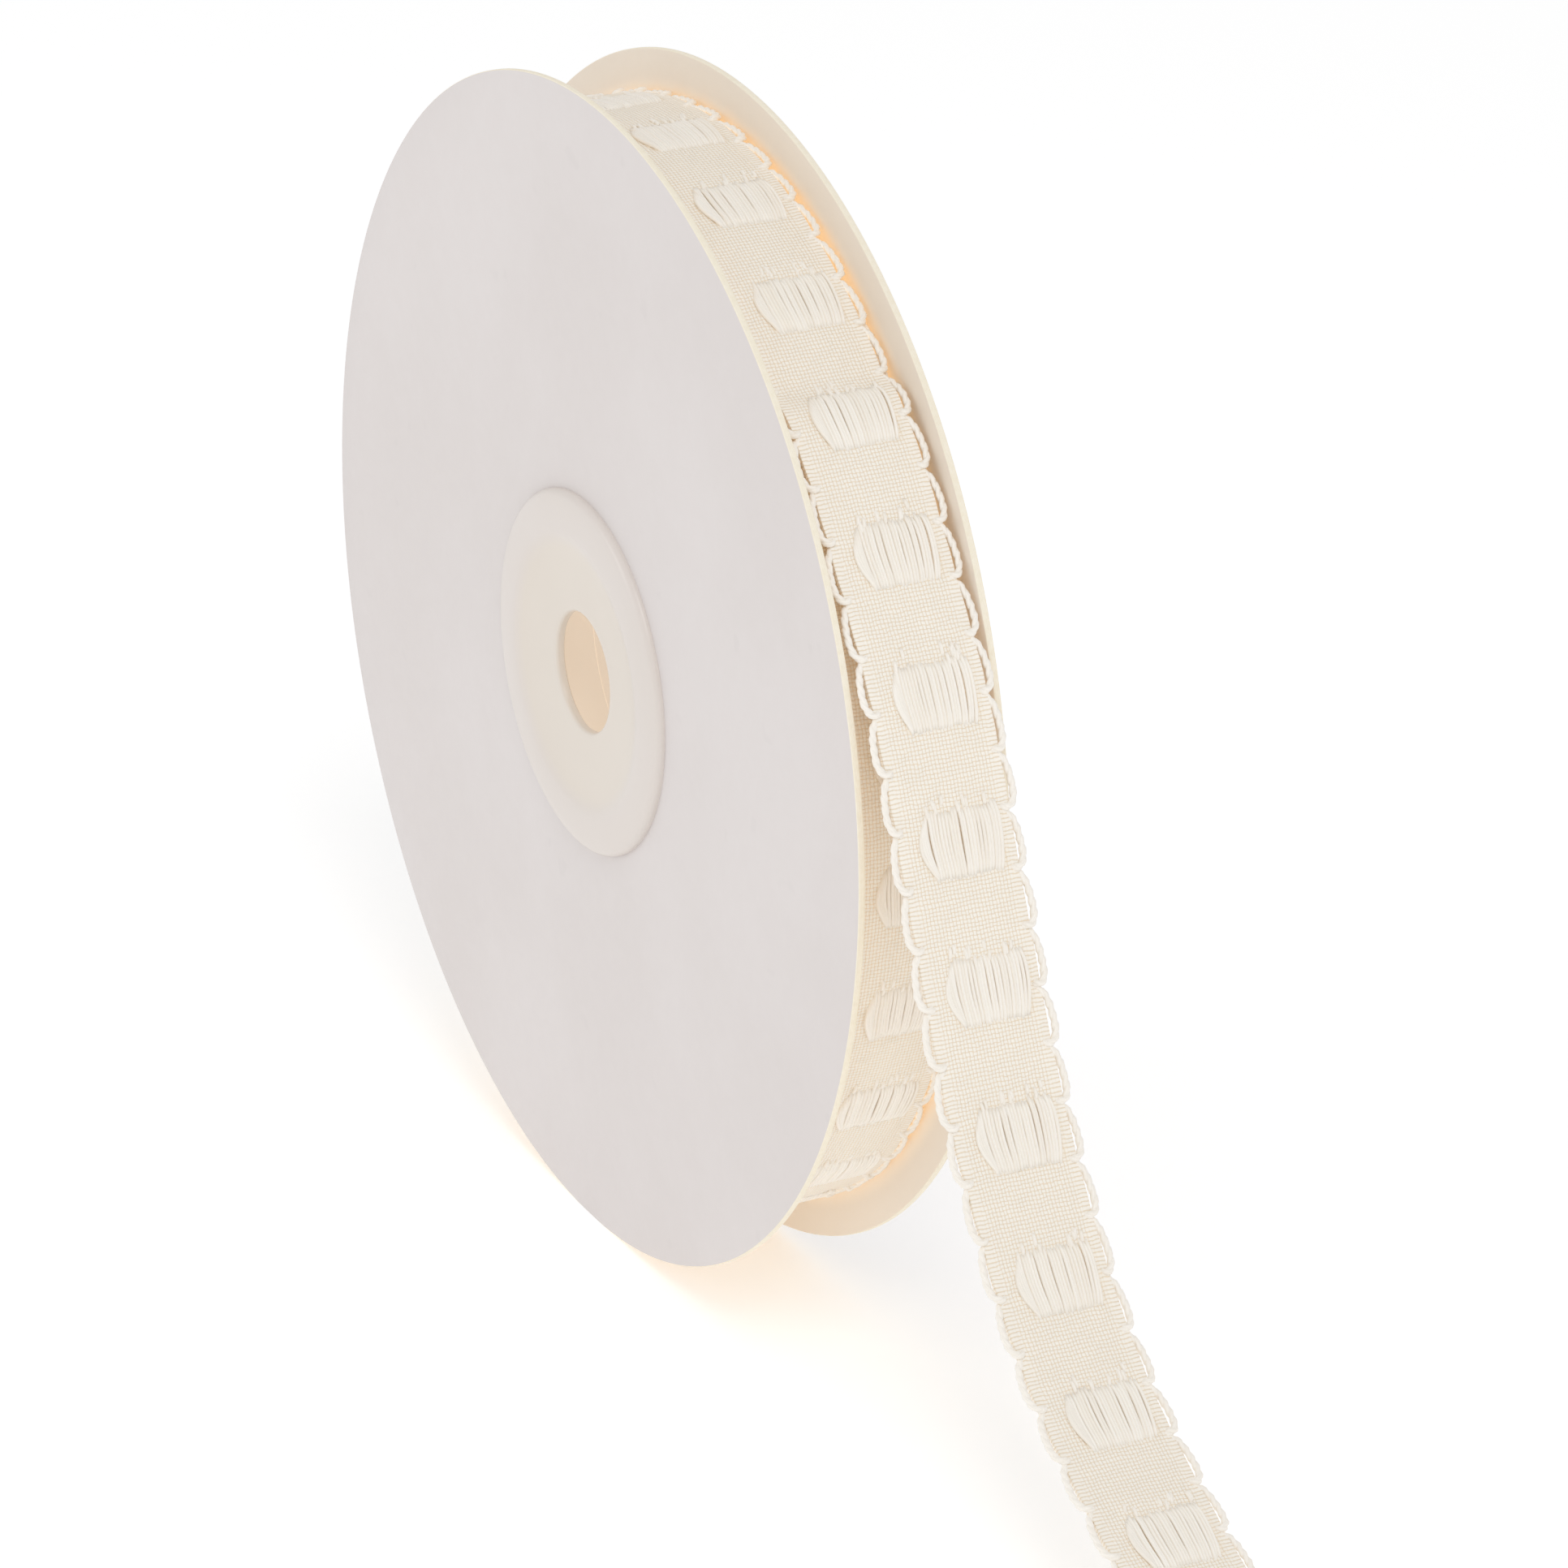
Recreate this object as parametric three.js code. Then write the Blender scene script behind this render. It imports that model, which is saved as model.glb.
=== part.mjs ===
// A spool of narrow gift ribbon, standing on the rims of its two board flanges.
// Units are millimetres, +Z is up. The spool's axis lies along Y, its front face looks
// towards -Y, and the loose end of the ribbon hangs off the +X side down to the floor.
// The origin is on the floor, under the middle of the whole thing, loose end included.

import * as THREE from 'three';

// Flanges: two discs of coated board
const FLANGE_RADIUS = 46;
const FLANGE_THICK = 0.55;
const FLANGE_HOLE_RADIUS = 12.9;
const SPOOL_WIDTH = 12.2;
const FLAT_SPOT_DEPTH = 0.12;
const FLANGE_ARC_STEPS = 66;
const FLANGE_HOLE_STEPS = 24;

// Hub: two alike moulded halves that meet at the middle of the spool
const COLLAR_RADIUS = 14.2;
const BARREL_RADIUS = 12.6;
const BARREL_WALL = 1.1;
const BORE_RADIUS = 4.7;
const HUB_STEPS = 48;
// From the collar's foot over its crown and down the dish to the bore, and back inside the
// hollow to the barrel: inward is measured from the collar's rim, above from the board's face
const HUB_WEB = [
  { inward: 0, above: 0 },
  { inward: 0.1, above: 0.35 },
  { inward: 0.6, above: 0.65 },
  { inward: 1.6, above: 0.84 },
  { inward: 2.6, above: 0.9 },
  { inward: 3.4, above: 0.8 },
  { inward: 4.6, above: 0.5 },
  { inward: 7.9, above: 0.18 },
  { inward: 9.2, above: 0.15 },
  { inward: COLLAR_RADIUS - BORE_RADIUS, above: -0.1 },
  { inward: COLLAR_RADIUS - BORE_RADIUS, above: -0.65 },
  { inward: 4.6, above: -0.3 },
  { inward: COLLAR_RADIUS - BARREL_RADIUS + BARREL_WALL, above: -0.4 },
];

// Ribbon: a woven strip with floating threads in patches and a looped edge on both sides
const BODY_HALF_WIDTH = 4.5;
const SELVEDGE_SAG = 0.05;
const LOOP_PITCH = 4.23;
const LOOP_PHASE = 3.2;
const LOOP_SAG = 0.25;
// How far the edge stands out at each quarter of a loop, from one knot to the next
const LOOP_OUTLINE = [0.15, 0.5, 0.7, 0.65];
const KNOT_REACH = LOOP_OUTLINE[0];
const SHEET_THICK = 1;
const PATCH_REPEAT = 10.6;
const PATCH_PHASE = 6.1;
const PATCH_HALF_LENGTH = 2.7;
const PATCH_HALF_WIDTH = 2.8;
const PATCH_RIM = 0.7;
const PATCH_HEIGHT = 0.3;

// Winding: one solid of all the turns, with the outermost one ending in a low step
const ROLL_RADIUS = 43;
const ROLL_BORE_RADIUS = 12.9;
const LEAVING_ANGLE = THREE.MathUtils.degToRad(52);
const PIECE_GAP = 0.3;
const STEP_HEIGHT = SHEET_THICK + PIECE_GAP;
const SIDE_HALF_WIDTH = 4.75;
const SIDE_GROOVE = { inset: 0.3, depth: 1.1 };
const SWELL = [
  { height: 0.14, waves: 5, turn: 0.6 },
  { height: 0.1, waves: 9, turn: 2.1 },
];

// Loose end: the show face, in the plane of the spool, measured from the spool's centre.
// It stands off a little before it hangs free. lean turns the strip about its own length.
const TAIL_GAP = 2 * PIECE_GAP;
const TANGENT_LENGTH = 3;
const LOOSE_END = [
  { x: 31.1, z: 31.2, lean: 0 },
  { x: 35.1, z: 27.4, lean: 0 },
  { x: 40.1, z: 20.9, lean: 0 },
  { x: 44.6, z: 14.4, lean: 1 },
  { x: 47.3, z: 9.1, lean: 1 },
  { x: 49.4, z: 4, lean: 0.5 },
  { x: 52, z: -1.9, lean: 1 },
  { x: 54.7, z: -8, lean: 1 },
  { x: 57.8, z: -14.1, lean: 0 },
  { x: 61.7, z: -19.9, lean: -1 },
  { x: 65.8, z: -25.1, lean: -2 },
  { x: 70.8, z: -29.6, lean: -2 },
  { x: 76.8, z: -33.4, lean: -2 },
  { x: 83.6, z: -36.8, lean: -2 },
  { x: 90.4, z: -39.8, lean: -1 },
  { x: 96.8, z: -43, lean: 0 },
];
// Where the show face lies flat, along X from the last row above
const RESTING = [4.9, 8.4, 11.9];

const boardWhite = { color: 0xdfdbd7, roughness: 0.62, metalness: 0 };
const hubWhite = { color: 0xeae4da, roughness: 0.28, metalness: 0 };
const ribbonCream = { color: 0xf0e7d9, roughness: 0.7, metalness: 0 };

function named(name, geometry, values) {
  const mesh = new THREE.Mesh(geometry, new THREE.MeshStandardMaterial(values));
  mesh.name = name;
  return mesh;
}

// A disc with a round hole and a short straight foot at its lowest point
function flangeGeometry() {
  const footAngle = Math.acos((FLANGE_RADIUS - FLAT_SPOT_DEPTH) / FLANGE_RADIUS);
  const down = -Math.PI / 2;
  const disc = new THREE.Shape();
  disc.absarc(0, 0, FLANGE_RADIUS, down + footAngle, down + 2 * Math.PI - footAngle, false);
  disc.closePath();
  const outline = disc.getPoints(FLANGE_ARC_STEPS);
  const hole = new THREE.Path();
  hole.absarc(0, 0, FLANGE_HOLE_RADIUS, 0, 2 * Math.PI, true);
  const board = new THREE.Shape(outline);
  board.holes.push(new THREE.Path(hole.getPoints(FLANGE_HOLE_STEPS)));
  return new THREE.ExtrudeGeometry(board, { depth: FLANGE_THICK, bevelEnabled: false });
}

function flange(name, outerFaceY) {
  const mesh = named(name, flangeGeometry(), boardWhite);
  mesh.rotation.x = Math.PI / 2;
  mesh.position.y = outerFaceY > 0 ? outerFaceY : outerFaceY + FLANGE_THICK;
  return mesh;
}

// One hub half, turned: a barrel up to the board and a web with a rounded collar and a dish
function hubHalfGeometry() {
  const board = SPOOL_WIDTH / 2;
  const barrelInside = BARREL_RADIUS - BARREL_WALL;
  const web = HUB_WEB.map(({ inward, above }) => [COLLAR_RADIUS - inward, board + above]);
  const profile = [
    [barrelInside, 0],
    [BARREL_RADIUS, 0],
    [BARREL_RADIUS, board],
    ...web,
    [barrelInside, 0],
  ];
  const points = profile.map(([radius, height]) => new THREE.Vector2(radius, height));
  return new THREE.LatheGeometry(points, HUB_STEPS);
}

// The sections of a stretch of ribbon: its two ends and each quarter of a loop between them,
// with the distance along from the leaving point and how far the looped edge stands out
function stations(low, high) {
  const quarters = LOOP_OUTLINE.length;
  const quarter = LOOP_PITCH / quarters;
  const first = Math.ceil((low - LOOP_PHASE) / quarter + 0.5);
  const last = Math.floor((high - LOOP_PHASE) / quarter - 0.5);
  const between = [];
  for (let step = first; step <= last; step += 1) {
    const reach = LOOP_OUTLINE[((step % quarters) + quarters) % quarters];
    between.push({ along: LOOP_PHASE + step * quarter, reach });
  }
  return [{ along: low, reach: KNOT_REACH }, ...between, { along: high, reach: KNOT_REACH }];
}

// Height of the floating threads at a distance along the ribbon from the leaving point
function patchHeight(along) {
  const repeats = (along - PATCH_PHASE) / PATCH_REPEAT;
  const fromMiddle = Math.abs(repeats - Math.round(repeats)) * PATCH_REPEAT;
  const rise = THREE.MathUtils.smoothstep(PATCH_HALF_LENGTH - fromMiddle, 0, PATCH_RIM);
  return PATCH_HEIGHT * rise;
}

// The show side of the ribbon's section, from one looped edge to the other.
// Each row is a place across the width and a height above the plain weave.
function showSide({ along, reach }) {
  const half = [
    [PATCH_HALF_WIDTH, patchHeight(along)],
    [PATCH_HALF_WIDTH + PATCH_RIM, 0],
    [BODY_HALF_WIDTH, -SELVEDGE_SAG],
    [BODY_HALF_WIDTH + reach, -LOOP_SAG],
  ];
  const mirrored = half.map(([across, height]) => [-across, height]).reverse();
  return [...mirrored, ...half];
}

// Joins equal sections, in the way the ribbon runs, into one closed body. Each is a list of
// points from the near edge over the show side to the far edge and back. A ring joins its
// last section to its first, and a strip is closed at both ends by a fan.
function bodyFromSections(sections, isRing) {
  const size = sections[0].length;
  const positions = sections.flat().flatMap((point) => point.toArray());
  const triangles = [];
  const spans = isRing ? sections.length : sections.length - 1;
  for (let span = 0; span < spans; span += 1) {
    const here = span * size;
    const next = ((span + 1) % sections.length) * size;
    for (let corner = 0; corner < size; corner += 1) {
      const other = (corner + 1) % size;
      triangles.push(here + corner, next + other, here + other);
      triangles.push(here + corner, next + corner, next + other);
    }
  }
  if (!isRing) {
    const last = (sections.length - 1) * size;
    const hinge = size - 1;
    for (let corner = 0; corner < size - 2; corner += 1) {
      triangles.push(hinge, corner, corner + 1);
      triangles.push(last + hinge, last + corner + 1, last + corner);
    }
  }
  const geometry = new THREE.BufferGeometry();
  geometry.setAttribute('position', new THREE.Float32BufferAttribute(positions, 3));
  geometry.setIndex(triangles);
  geometry.computeVertexNormals();
  return geometry;
}

// Radius of the winding, from the leaving point back over the top for one whole turn
function windingRadius(share, angle) {
  const swell = SWELL.reduce(
    (sum, wave) => sum + wave.height * Math.sin(wave.waves * angle + wave.turn),
    0,
  );
  return ROLL_RADIUS - STEP_HEIGHT * share + swell * Math.sin(Math.PI * share);
}

function rollGeometry() {
  const turnLength = 2 * Math.PI * (ROLL_RADIUS - STEP_HEIGHT / 2);
  const turnAngle = 2 * Math.PI - PIECE_GAP / ROLL_RADIUS;
  const sections = stations(-turnLength, 0).map((station) => {
    const share = -station.along / turnLength;
    const angle = LEAVING_ANGLE + share * turnAngle;
    const surface = windingRadius(share, angle);
    const groove = surface - SIDE_GROOVE.depth;
    const side = SIDE_HALF_WIDTH - SIDE_GROOVE.inset;
    const section = [
      ...showSide(station).map(([across, height]) => [across, surface + height]),
      [side, groove],
      [SIDE_HALF_WIDTH, ROLL_BORE_RADIUS],
      [-SIDE_HALF_WIDTH, ROLL_BORE_RADIUS],
      [-side, groove],
    ];
    return section.map(([across, radius]) => (
      new THREE.Vector3(radius * Math.cos(angle), across, radius * Math.sin(angle))
    ));
  });
  return bodyFromSections(sections, true);
}

// The loose end's show face as one smooth line that ends flat on the floor
function looseEndLine() {
  const cos = Math.cos(LEAVING_ANGLE);
  const sin = Math.sin(LEAVING_ANGLE);
  const start = new THREE.Vector3(ROLL_RADIUS * cos, 0, ROLL_RADIUS * sin);
  const away = new THREE.Vector3(sin, 0, -cos);
  const onFloor = FLAT_SPOT_DEPTH - FLANGE_RADIUS + SHEET_THICK;
  const last = LOOSE_END[LOOSE_END.length - 1];
  const points = [
    start.clone().addScaledVector(away, TAIL_GAP),
    start.clone().addScaledVector(away, TANGENT_LENGTH),
    ...LOOSE_END.map(({ x, z }) => new THREE.Vector3(x, 0, z)),
    ...RESTING.map((run) => new THREE.Vector3(last.x + run, 0, onFloor)),
  ];
  return new THREE.CatmullRomCurve3(points, false, 'centripetal');
}

// The lean at a place along X, read between the rows of the table
function leanAt(x) {
  const after = LOOSE_END.findIndex((row) => row.x > x);
  if (after <= 0) {
    return 0;
  }
  const low = LOOSE_END[after - 1];
  const high = LOOSE_END[after];
  const share = (x - low.x) / (high.x - low.x);
  return THREE.MathUtils.degToRad(THREE.MathUtils.lerp(low.lean, high.lean, share));
}

function looseEndGeometry(line) {
  const length = line.getLength();
  const floor = FLAT_SPOT_DEPTH - FLANGE_RADIUS;
  const sections = stations(TAIL_GAP, TAIL_GAP + length).map((station) => {
    const share = (station.along - TAIL_GAP) / length;
    const place = line.getPointAt(share);
    const tangent = line.getTangentAt(share);
    const lean = leanAt(place.x);
    const outward = new THREE.Vector3(-tangent.z, 0, tangent.x);
    const width = new THREE.Vector3(0, 1, 0).applyAxisAngle(tangent, lean);
    const normal = outward.applyAxisAngle(tangent, lean);
    const show = showSide(station);
    const [edge] = show[show.length - 1];
    const section = [...show, [edge, -SHEET_THICK], [-edge, -SHEET_THICK]];
    return section.map(([across, height]) => {
      const point = place.clone().addScaledVector(width, across);
      point.addScaledVector(normal, height);
      point.z = Math.max(point.z, floor);
      return point;
    });
  });
  return bodyFromSections(sections, false);
}

const spool = new THREE.Group();
spool.add(flange('flange_front', -SPOOL_WIDTH / 2));
spool.add(flange('flange_back', SPOOL_WIDTH / 2));

const hubBack = named('hub_back', hubHalfGeometry(), hubWhite);
const hubFront = named('hub_front', hubHalfGeometry(), hubWhite);
hubFront.rotation.x = Math.PI;
spool.add(hubFront, hubBack);

spool.add(named('ribbon_roll', rollGeometry(), ribbonCream));
const line = looseEndLine();
spool.add(named('ribbon_tail', looseEndGeometry(line), ribbonCream));

const farEnd = line.getPointAt(1).x;
spool.position.set((FLANGE_RADIUS - farEnd) / 2, 0, FLANGE_RADIUS - FLAT_SPOT_DEPTH);

export default spool;
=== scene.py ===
"""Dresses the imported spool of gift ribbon: two coated board flanges on a moulded hub, with a
woven, loop-edged ribbon wound between them and its loose end hanging down to the floor."""

import math
import random

import bmesh
import bpy
from bpy.props import (
    FloatProperty,
    FloatVectorProperty,
    IntProperty,
    PointerProperty,
)
from mathutils import Matrix, Vector, noise


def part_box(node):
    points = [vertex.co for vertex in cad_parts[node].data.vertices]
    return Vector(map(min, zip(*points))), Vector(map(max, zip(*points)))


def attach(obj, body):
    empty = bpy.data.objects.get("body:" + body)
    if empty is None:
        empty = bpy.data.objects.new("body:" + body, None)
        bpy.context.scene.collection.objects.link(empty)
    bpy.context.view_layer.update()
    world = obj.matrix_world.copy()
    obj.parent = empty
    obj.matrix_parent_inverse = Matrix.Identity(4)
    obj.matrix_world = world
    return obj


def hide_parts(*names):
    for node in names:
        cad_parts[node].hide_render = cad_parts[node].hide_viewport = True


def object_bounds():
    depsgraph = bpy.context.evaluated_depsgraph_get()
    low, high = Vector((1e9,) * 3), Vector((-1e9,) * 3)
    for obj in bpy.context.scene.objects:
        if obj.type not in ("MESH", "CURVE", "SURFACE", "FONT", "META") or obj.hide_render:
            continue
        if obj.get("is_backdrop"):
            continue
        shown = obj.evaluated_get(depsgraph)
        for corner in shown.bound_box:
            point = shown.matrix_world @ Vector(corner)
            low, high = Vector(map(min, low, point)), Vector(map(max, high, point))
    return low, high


bl_info = {
    "name": "Gift Ribbon Spool",
    "version": (1, 0, 0),
    "blender": (4, 5, 0),
    "location": "View3D > Sidebar > Ribbon Spool",
    "description": "Builds a board spool of loop-edged gift ribbon on its packed CAD frame",
    "category": "Add Mesh",
}

MM = 0.001
BODY = "root"

# Length of the winding's and the loose end's faces along the ribbon, and how many lie across it
STRIP_STEP = 0.48 * MM
SHOW_ROWS = 36
# Half the width of the winding's body under the outermost ribbon's loops
WINDING_SIDE = 4.75 * MM
# The loops on the left lie this far further along the ribbon, and those on the right as far back
LOOP_SHIFT = 0.15 * MM
SLACK_THREADS = 4
LOOSE_TUFTS = 9

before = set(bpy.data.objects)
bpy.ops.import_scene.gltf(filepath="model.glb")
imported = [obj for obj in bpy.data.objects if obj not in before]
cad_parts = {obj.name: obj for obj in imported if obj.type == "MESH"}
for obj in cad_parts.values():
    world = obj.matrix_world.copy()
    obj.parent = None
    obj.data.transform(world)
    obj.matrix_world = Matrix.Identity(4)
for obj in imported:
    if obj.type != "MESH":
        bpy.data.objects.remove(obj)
CAD_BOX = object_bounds()
HUB_LOW, HUB_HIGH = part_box("hub_front")
SPOOL_CENTRE = Vector(((HUB_LOW.x + HUB_HIGH.x) / 2, 0, (HUB_LOW.z + HUB_HIGH.z) / 2))
FLOOR_BELOW = -SPOOL_CENTRE.z

# Hub half, turned: radius and height above the spool's middle plane, in millimetres.
# The outer side runs from the board over the collar's crown and the dish to the bore.
COLLAR_SIDE = [
    (14.2, 6.1),
    (14.17, 6.4),
    (13.95, 6.68),
    (13.4, 6.86),
    (12.4, 6.97),
    (11.5, 7.0),
    (10.9, 6.95),
    (10.3, 6.78),
    (9.4, 6.58),
    (7.6, 6.4),
    (6.0, 6.29),
    (5.1, 6.26),
    (4.82, 6.2),
    (4.7, 6.05),
]
INNER_SIDE = [
    (4.7, 5.6),
    (4.85, 5.48),
    (6.0, 5.5),
    (9.6, 5.78),
    (11.2, 5.72),
    (11.5, 5.4),
    (11.5, 0.02),
    (12.6, 0.02),
    (12.6, 6.1),
]

# Loose end, the show face's middle in the plane of the spool, in millimetres from the
# spool's centre: x, z, lean about its own length in degrees
LOOSE_END = [
    (31.1, 31.2, 0),
    (35.1, 27.4, 0),
    (40.1, 20.9, 0),
    (44.6, 14.4, 1),
    (47.3, 9.1, 1),
    (49.4, 4, 0.5),
    (52, -1.9, 1),
    (54.7, -8, 1),
    (57.8, -14.1, 0),
    (61.7, -19.9, -1),
    (65.8, -25.1, -2),
    (70.8, -29.6, -2),
    (76.8, -33.4, -2),
    (83.6, -36.8, -2),
    (90.4, -39.9, -1),
    (96.8, -43.3, 0),
]
# Where the show face lies flat on the floor, along X from the last row above
RESTING = [4.9, 8.4, 11.9]

# Slow swell of the winding's surface round its turn: height in mm, waves, start in radians
WINDING_SWELL = [(0.14, 5, 0.6), (0.1, 9, 2.1)]

# One edge loop, from where its thread comes out under the ribbon to where it tucks in over
# the edge: share of the loop's pitch, share of its reach beyond the edge, and millimetres
# above the show face
LOOP_PATH = [
    (0.0, -0.9, -0.32),
    (0.05, -0.15, -0.27),
    (0.15, 0.4, -0.2),
    (0.32, 0.78, -0.17),
    (0.5, 0.95, -0.15),
    (0.68, 1.0, -0.13),
    (0.83, 0.82, -0.08),
    (0.93, 0.35, -0.02),
    (0.965, -0.15, 0.04),
    (0.955, -0.55, 0.0),
    (0.93, -0.9, -0.3),
]

# Tints of the painted glow: emission that stands in for light that has come through the pale board
# or plastic, and through many threads
PAINTED_GLOW = (1.0, 0.88, 0.7)
PAINTED_DEEP_GLOW = (1.0, 0.72, 0.4)


def linear(code):
    """A colour given as six hex digits, as the linear numbers that Blender's sockets take."""
    parts = [int(code[i : i + 2], 16) / 255 for i in (0, 2, 4)]
    return tuple(
        c / 12.92 if c <= 0.04045 else ((c + 0.055) / 1.055) ** 2.4 for c in parts
    )


# Settings


class BoardSettings(bpy.types.PropertyGroup):
    """Sizes of the two board flanges."""

    radius: FloatProperty(
        name="Radius", description="Radius of a flange", default=0.046, unit="LENGTH"
    )
    thickness: FloatProperty(
        name="Thickness",
        description="Thickness of the board",
        default=0.00055,
        unit="LENGTH",
        precision=5,
    )
    hole: FloatProperty(
        name="Hole radius",
        description="Radius of the punched hole round the hub",
        default=0.0129,
        unit="LENGTH",
    )
    half_width: FloatProperty(
        name="Half width",
        description="From the spool's middle plane to a flange's outer face",
        default=0.0061,
        unit="LENGTH",
    )
    edge_round: FloatProperty(
        name="Edge round",
        description="How far the cut edge is rounded",
        default=0.00013,
        unit="LENGTH",
        precision=5,
    )
    warp: FloatProperty(
        name="Warp",
        description="How far the board wanders from flat",
        default=0.00005,
        unit="LENGTH",
        precision=5,
    )


class RibbonSettings(bpy.types.PropertyGroup):
    """Sizes of the ribbon and its weave."""

    half_width: FloatProperty(
        name="Half width",
        description="Half the width of the woven body, without its loops",
        default=0.0045,
        unit="LENGTH",
        precision=5,
    )
    thickness: FloatProperty(
        name="Thickness",
        description="Thickness of the woven body",
        default=0.00045,
        unit="LENGTH",
        precision=5,
    )
    radius: FloatProperty(
        name="Winding radius",
        description="Radius of the full winding",
        default=0.043,
        unit="LENGTH",
    )
    bore: FloatProperty(
        name="Bore radius",
        description="Radius of the hole through the winding",
        default=0.0129,
        unit="LENGTH",
    )
    step: FloatProperty(
        name="Turn height",
        description="How much lower the winding is one turn further in",
        default=0.0007,
        unit="LENGTH",
        precision=5,
    )
    leaving: FloatProperty(
        name="Leaving angle",
        description="Where the loose end leaves the winding, above level",
        default=math.radians(52),
        subtype="ANGLE",
    )
    patch_repeat: FloatProperty(
        name="Patch repeat",
        description="Distance from one patch of floating threads to the next",
        default=0.0106,
        unit="LENGTH",
        precision=5,
    )
    patch_phase: FloatProperty(
        name="Patch start",
        description="Distance of a patch's middle from the leaving point",
        default=0.0065,
        unit="LENGTH",
        precision=5,
    )
    patch_length: FloatProperty(
        name="Patch length",
        description="Length of the floating threads",
        default=0.0049,
        unit="LENGTH",
        precision=5,
    )
    patch_half_width: FloatProperty(
        name="Patch half width",
        description="Half the width that the floating threads cover",
        default=0.00272,
        unit="LENGTH",
        precision=5,
    )
    patch_offset: FloatProperty(
        name="Patch offset",
        description="How far the patches lie off the ribbon's middle",
        default=0.00068,
        unit="LENGTH",
        precision=5,
    )
    floats: IntProperty(
        name="Floating threads",
        description="Floating threads in one patch",
        default=22,
        min=4,
        max=40,
    )
    float_radius: FloatProperty(
        name="Float radius",
        description="Half the thickness of a floating thread",
        default=0.00015,
        unit="LENGTH",
        precision=6,
    )
    loop_pitch: FloatProperty(
        name="Loop pitch",
        description="Length of one edge loop",
        default=0.00423,
        unit="LENGTH",
        precision=5,
    )
    loop_phase: FloatProperty(
        name="Loop start",
        description="Distance of a knot between two loops from the leaving point",
        default=0.0030,
        unit="LENGTH",
        precision=5,
    )
    loop_reach: FloatProperty(
        name="Loop reach",
        description="How far the edge loops stand out from the woven body",
        default=0.00084,
        unit="LENGTH",
        precision=5,
    )
    ply_radius: FloatProperty(
        name="Ply radius",
        description="Half the thickness of one of the loop thread's two plies",
        default=0.00021,
        unit="LENGTH",
        precision=6,
    )
    ply_twist: FloatProperty(
        name="Ply twist",
        description="Length in which the two plies turn once round each other",
        default=0.0016,
        unit="LENGTH",
        precision=5,
    )
    warp_pitch: FloatProperty(
        name="Warp pitch",
        description="Distance between lengthwise threads",
        default=0.00028,
        unit="LENGTH",
        precision=6,
    )
    weft_pitch: FloatProperty(
        name="Weft pitch",
        description="Distance between crosswise threads",
        default=0.00031,
        unit="LENGTH",
        precision=6,
    )


class ColourSettings(bpy.types.PropertyGroup):
    """Colours of the board, hub and ribbon."""

    board_face: FloatVectorProperty(
        name="Board face",
        description="Coated face of the board",
        subtype="COLOR",
        size=3,
        default=linear("ded8d6"),
    )
    # Lighter and warmer than the coated face: partly the uncoated side's own cream, partly painted
    # bounce light from between the flanges.
    board_inside_and_bounce: FloatVectorProperty(
        name="Board inside",
        description="Uncoated inner face of the board",
        subtype="COLOR",
        size=3,
        default=linear("f0e6d9"),
    )
    board_edge: FloatVectorProperty(
        name="Board edge",
        description="Cut edge of the board",
        subtype="COLOR",
        size=3,
        default=linear("f6efdf"),
    )
    hub: FloatVectorProperty(
        name="Hub",
        description="Moulded hub",
        subtype="COLOR",
        size=3,
        default=linear("dfd6cb"),
    )
    hub_crown: FloatVectorProperty(
        name="Hub crown",
        description="The hub's collar, where it is thick",
        subtype="COLOR",
        size=3,
        default=linear("ddd5cf"),
    )
    thread_light: FloatVectorProperty(
        name="Weave light",
        description="Crests of the woven threads",
        subtype="COLOR",
        size=3,
        default=linear("f9f4eb"),
    )
    # Painted shade: the colour of the gaps between threads and between stacked turns, and of the
    # ground under the floating threads.
    painted_gap_shade: FloatVectorProperty(
        name="Weave dark",
        description="Gaps between the woven threads",
        subtype="COLOR",
        size=3,
        default=linear("eddbc0"),
    )
    silk: FloatVectorProperty(
        name="Float thread",
        description="Glossy floating threads and edge loops",
        subtype="COLOR",
        size=3,
        default=linear("f6f1e9"),
    )
    floor: FloatVectorProperty(
        name="Floor",
        description="Studio floor",
        subtype="COLOR",
        size=3,
        default=linear("fafafa"),
    )


class SpoolSettings(bpy.types.PropertyGroup):
    """Every size and colour of the dressed spool."""

    board: PointerProperty(type=BoardSettings)
    ribbon: PointerProperty(type=RibbonSettings)
    colours: PointerProperty(type=ColourSettings)


# The ribbon's run


def smooth_line(points, per_span):
    """Points on a centripetal Catmull-Rom line through the given ones."""
    ends = [2 * points[0] - points[1], *points, 2 * points[-1] - points[-2]]
    line = [points[0].copy()]
    for span in range(len(points) - 1):
        near = ends[span : span + 4]
        knots = [0.0]
        for start, end in zip(near, near[1:]):
            knots.append(knots[-1] + math.sqrt((end - start).length))
        for step in range(1, per_span + 1):
            at = knots[1] + (knots[2] - knots[1]) * step / per_span
            line.append(knot_blend(near, knots, at))
    return line


def knot_blend(points, knots, at):
    """The point at one knot value between the middle two of four points."""

    def between(start, end, low, high):
        return start.lerp(end, (at - knots[low]) / (knots[high] - knots[low]))

    first, middle, last = (between(points[k], points[k + 1], k, k + 1) for k in range(3))
    return between(between(first, middle, 0, 2), between(middle, last, 1, 3), 1, 2)


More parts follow.
